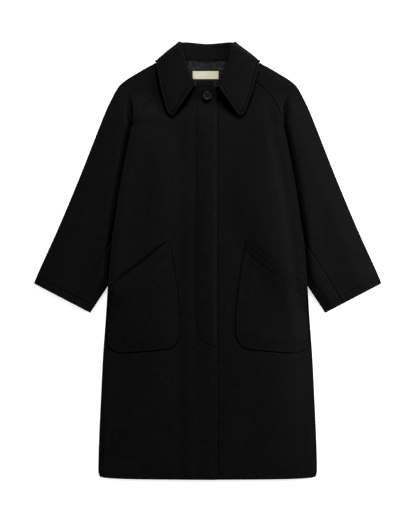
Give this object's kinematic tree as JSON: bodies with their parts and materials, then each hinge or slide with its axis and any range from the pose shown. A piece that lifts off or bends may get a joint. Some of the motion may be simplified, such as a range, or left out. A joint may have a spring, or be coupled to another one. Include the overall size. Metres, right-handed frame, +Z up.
{
  "type": "long coat",
  "caption": "Long raglan coat of heavy wool cloth laid flat on its back, with a turned collar, a hidden button fly, slanted patch pockets and an open neck.",
  "frame": {"origin": "middle of the laid-out coat's outline, on the surface it lies on", "axes": "+Z up from the surface, +Y from the hem towards the collar, +X towards the wearer's left"},
  "size_m": [0.904, 1.1374, 0.0303],
  "materials": {
    "black_wool": "felted wool melton, matt with a faint nap",
    "black_satin": "satin lining, soft sheen",
    "cream_label": "woven label, matt",
    "black_tape": "woven tape, soft sheen",
    "dark_horn": "polished dark horn"
  },
  "bodies": {
    "root": {"back": "black_wool", "front_left": "black_wool", "front_right": "black_wool", "sleeve_front_left": "black_wool", "sleeve_front_right": "black_wool", "sleeve_back_left": "black_wool", "sleeve_back_right": "black_wool", "pocket_left": "black_wool", "pocket_right": "black_wool", "collar": "black_wool", "neck_lining": "black_satin", "neck_label": "cream_label", "size_label": "black_tape", "top_button": "dark_horn"}
  },
  "joints": []
}
